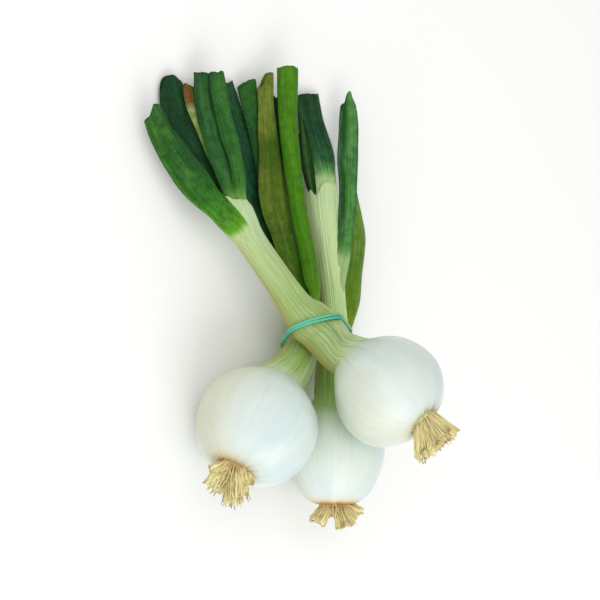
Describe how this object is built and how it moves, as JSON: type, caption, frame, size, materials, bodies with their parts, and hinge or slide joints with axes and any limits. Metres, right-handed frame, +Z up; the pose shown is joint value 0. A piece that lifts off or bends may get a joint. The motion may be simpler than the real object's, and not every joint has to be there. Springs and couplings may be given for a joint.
{
  "type": "spring onion bunch",
  "caption": "Bunch of bulbing spring onions with round white bulbs, pale necks, trimmed root tufts and cut green leaves, held at the necks by a thin rubber band.",
  "frame": {"origin": "centre of the bounding box in X and Y, on the plane the bunch lies on", "axes": "+Y from the bulbs to the cut leaf ends, +Z up from the surface, +X across the bunch"},
  "size_m": [0.1606, 0.2562, 0.109],
  "materials": {
    "bulb_white": "satin",
    "neck_green": "satin",
    "roots_straw": "matte",
    "leaf_dark_green": "satin",
    "leaf_green": "satin",
    "leaf_blue_green": "satin",
    "leaf_bright_green": "satin",
    "leaf_olive": "satin",
    "leaf_dry": "matte",
    "band_teal": "satin"
  },
  "bodies": {
    "root": {"bulb_top": "bulb_white", "neck_top": "neck_green", "roots_top": "roots_straw", "bulb_left": "bulb_white", "neck_left": "neck_green", "roots_left": "roots_straw", "bulb_centre": "bulb_white", "neck_centre": "neck_green", "roots_centre": "roots_straw", "leaf_top_outer": "leaf_blue_green", "leaf_top_low": "leaf_dark_green", "leaf_top_dry": "leaf_dry", "leaf_top_middle": "leaf_dark_green", "leaf_top_inner": "leaf_green", "leaf_left_bright": "leaf_bright_green", "leaf_left_twisted": "leaf_olive", "leaf_left_dark": "leaf_dark_green", "leaf_left_low": "leaf_dark_green", "leaf_left_thin": "leaf_dark_green", "leaf_centre_dark": "leaf_dark_green", "leaf_centre_thin": "leaf_dark_green", "leaf_centre_open": "leaf_blue_green", "leaf_centre_outer": "leaf_olive", "tie_band": "band_teal"}
  },
  "joints": []
}
